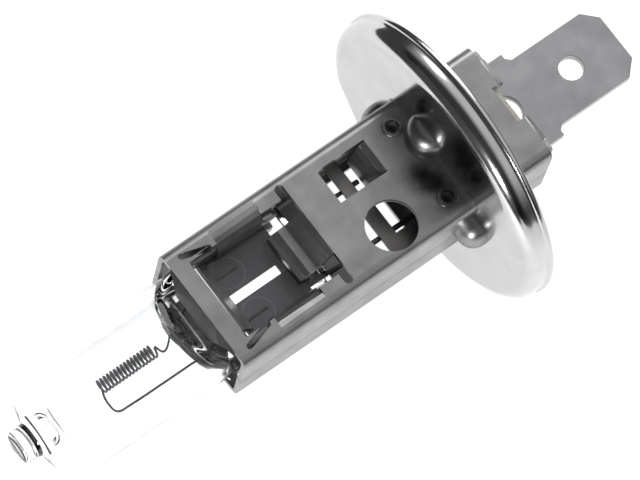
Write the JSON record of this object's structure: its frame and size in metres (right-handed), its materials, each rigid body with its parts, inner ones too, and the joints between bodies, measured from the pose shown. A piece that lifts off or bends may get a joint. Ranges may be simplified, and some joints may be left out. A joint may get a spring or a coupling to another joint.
{
  "type": "headlight bulb",
  "caption": "Halogen headlight bulb: clear quartz tube with axial filament, sheet-metal sleeve, round pre-focus ring cap and a flat blade terminal.",
  "frame": {"origin": "centre of the reference plane, the front face of the pre-focus ring, on the lamp axis", "axes": "+X along the lamp axis from the ring towards the glass tip, +Z square to it out of the front shell that carries the large windows, +Y to complete a right-handed frame, square to the flat side of the blade's width"},
  "size_m": [0.0568, 0.025, 0.025],
  "materials": {
    "quartz_glass": "clear, fire-polished",
    "tungsten_wire": "drawn, fired",
    "molybdenum_foil": "etched, thin",
    "molybdenum_pin": "drawn",
    "stamped_steel_front": "satin, stamped",
    "stamped_steel_rear": "satin, stamped",
    "polished_steel_ring": "polished, plated",
    "steatite_front": "matte, pressed ceramic",
    "steatite_rear": "matte, pressed ceramic",
    "tinned_brass_blade": "satin, tinned",
    "nickel_strip_live": "rolled",
    "nickel_strip_ground": "rolled",
    "nickelled_rivet": "headed, satin",
    "nickelled_washer": "stamped, satin"
  },
  "bodies": {
    "root": {"glass_envelope": "quartz_glass", "filament": "tungsten_wire", "foil_live": "molybdenum_foil", "foil_ground": "molybdenum_foil", "pin_live": "molybdenum_pin", "pin_ground": "molybdenum_pin", "front_shell": "stamped_steel_front", "rear_shell": "stamped_steel_rear", "base_ring": "polished_steel_ring", "insulator_front": "steatite_front", "insulator_rear": "steatite_rear", "blade_terminal": "tinned_brass_blade", "live_strip": "nickel_strip_live", "ground_strip": "nickel_strip_ground", "rivet": "nickelled_rivet", "rivet_washer": "nickelled_washer"}
  },
  "joints": []
}
